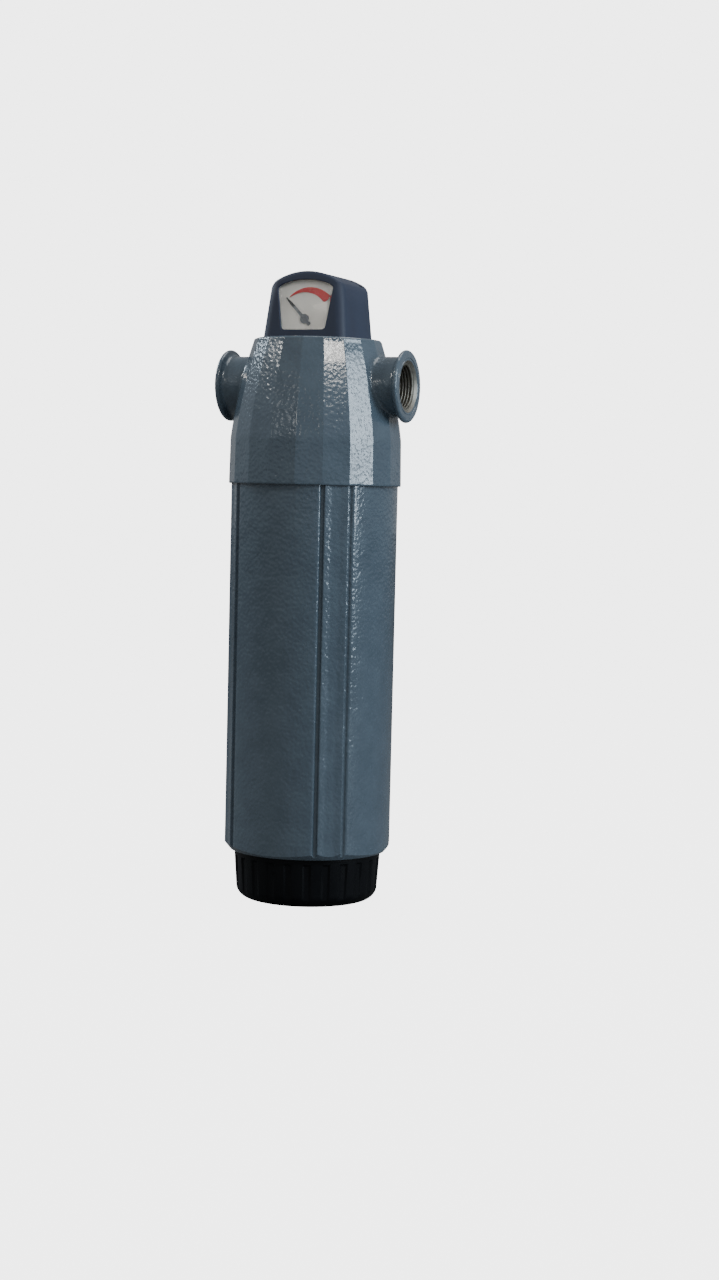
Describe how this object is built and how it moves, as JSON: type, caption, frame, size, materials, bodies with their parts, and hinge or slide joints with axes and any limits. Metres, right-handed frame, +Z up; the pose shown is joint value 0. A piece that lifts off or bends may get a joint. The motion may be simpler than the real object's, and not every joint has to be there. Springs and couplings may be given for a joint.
{
  "type": "compressed air line filter",
  "caption": "Upright in-line compressed air filter: cast head with threaded side ports, dial gauge on top, extruded bowl with filter element and float drain, fluted base cap.",
  "frame": {"origin": "centre of the base cap's bottom face, on the surface the filter stands on", "axes": "+Z up along the bowl's axis; +X towards the outlet port; the gauge window looks along -Y"},
  "size_m": [0.14, 0.123, 0.451],
  "materials": {
    "hammertone_paint": "blue-grey gloss paint with a fine hammered texture",
    "gauge_plastic": "navy satin moulded plastic",
    "gauge_glass": "clear glossy plastic window",
    "dial_white": "warm off-white printed plate",
    "dial_red": "red print",
    "pointer_black": "black satin",
    "base_plastic": "black moulded plastic",
    "drain_plastic": "natural moulded plastic",
    "machined_aluminium": "machined",
    "brass_fittings": "turned",
    "fastener_steel": "bright steel",
    "seal_rubber": "matt black rubber",
    "filter_fibre": "borosilicate fibre fleece",
    "filter_foam": "open foam"
  },
  "bodies": {
    "head": {"filter_head": "hammertone_paint", "gauge_cap": "gauge_plastic", "gauge_window": "gauge_glass", "dial_plate": "dial_white", "dial_red_zone": "dial_red", "gauge_block": "machined_aluminium", "pointer_bush": "brass_fittings", "sensor_o_ring_upstream": "seal_rubber", "sensor_o_ring_downstream": "seal_rubber", "cap_screw_left": "fastener_steel", "cap_screw_right": "fastener_steel", "piston_spring": "fastener_steel"},
    "pointer": {"pointer": "pointer_black", "pointer_spindle": "fastener_steel", "pointer_magnet": "fastener_steel"},
    "piston": {"sensing_piston": "brass_fittings", "piston_magnet": "fastener_steel"},
    "bowl_seal": {"bowl_o_ring": "seal_rubber"},
    "bowl": {"bowl_tube": "hammertone_paint", "base_plug": "machined_aluminium", "plug_o_ring": "seal_rubber", "drain_body": "brass_fittings", "drain_gasket": "seal_rubber", "drain_nut": "brass_fittings", "drain_cage": "drain_plastic", "valve_seat": "seal_rubber", "lever_pin": "fastener_steel"},
    "base": {"base_cap": "base_plastic"},
    "knob": {"drain_knob": "base_plastic"},
    "float": {"drain_float": "drain_plastic"},
    "lever": {"float_lever": "fastener_steel"},
    "valve": {"valve_pin": "fastener_steel"},
    "element": {"element_top_cap": "machined_aluminium", "element_bottom_cap": "machined_aluminium", "element_core": "fastener_steel", "pleated_media": "filter_fibre", "outer_sleeve": "fastener_steel", "foam_sock": "filter_foam", "element_o_ring_1": "seal_rubber", "element_o_ring_2": "seal_rubber"}
  },
  "joints": [
    {"name": "piston_slide", "type": "slide", "parent": "head", "child": "piston", "axis": [0, 0, 1], "range_m": [0, 0.006], "stiffness_N_per_m": 1500, "deforming": ["piston_spring"]},
    {"name": "pointer_turn", "type": "hinge", "parent": "head", "child": "pointer", "pos_m": [0, -0.02519, 0.417], "axis": [0, 0.992, -0.126], "range_deg": [0, 86]},
    {"name": "bowl_lower", "type": "slide", "parent": "head", "child": "bowl_seal", "axis": [0, 0, -1], "range_m": [0, 0.0101]},
    {"name": "bowl_turn", "type": "hinge", "parent": "bowl_seal", "child": "bowl", "pos_m": [0, 0, 0.31], "axis": [0, 0, -1], "range_deg": [0, 900]},
    {"name": "element_release", "type": "slide", "parent": "head", "child": "element", "axis": [0, 0, -1], "range_m": [0, 0.012]},
    {"name": "base_cap_turn", "type": "hinge", "parent": "bowl", "child": "base", "pos_m": [0, 0, 0.015], "axis": [0, 0, -1], "range_deg": [0, 60]},
    {"name": "drain_knob_turn", "type": "hinge", "parent": "bowl", "child": "knob", "pos_m": [0, 0, 0.018], "axis": [0, 0, -1], "range_deg": [0, 180]},
    {"name": "float_lift", "type": "slide", "parent": "bowl", "child": "float", "axis": [0, 0, 1], "range_m": [0, 0.0065]},
    {"name": "lever_swing", "type": "hinge", "parent": "bowl", "child": "lever", "pos_m": [0.007, 0, 0.0575], "axis": [0, 1, 0], "range_deg": [0, 16.5]},
    {"name": "valve_lift", "type": "slide", "parent": "bowl", "child": "valve", "axis": [0, 0, 1], "range_m": [0, 0.002]}
  ],
  "couplings": [
    {"joint": "pointer_turn", "follows": "piston_slide", "rad_per_m": 247},
    {"joint": "bowl_lower", "follows": "bowl_turn", "m_per_rad": 0.00063662},
    {"joint": "lever_swing", "follows": "float_lift", "rad_per_m": 43.5},
    {"joint": "valve_lift", "follows": "float_lift", "ratio": 0.3}
  ]
}
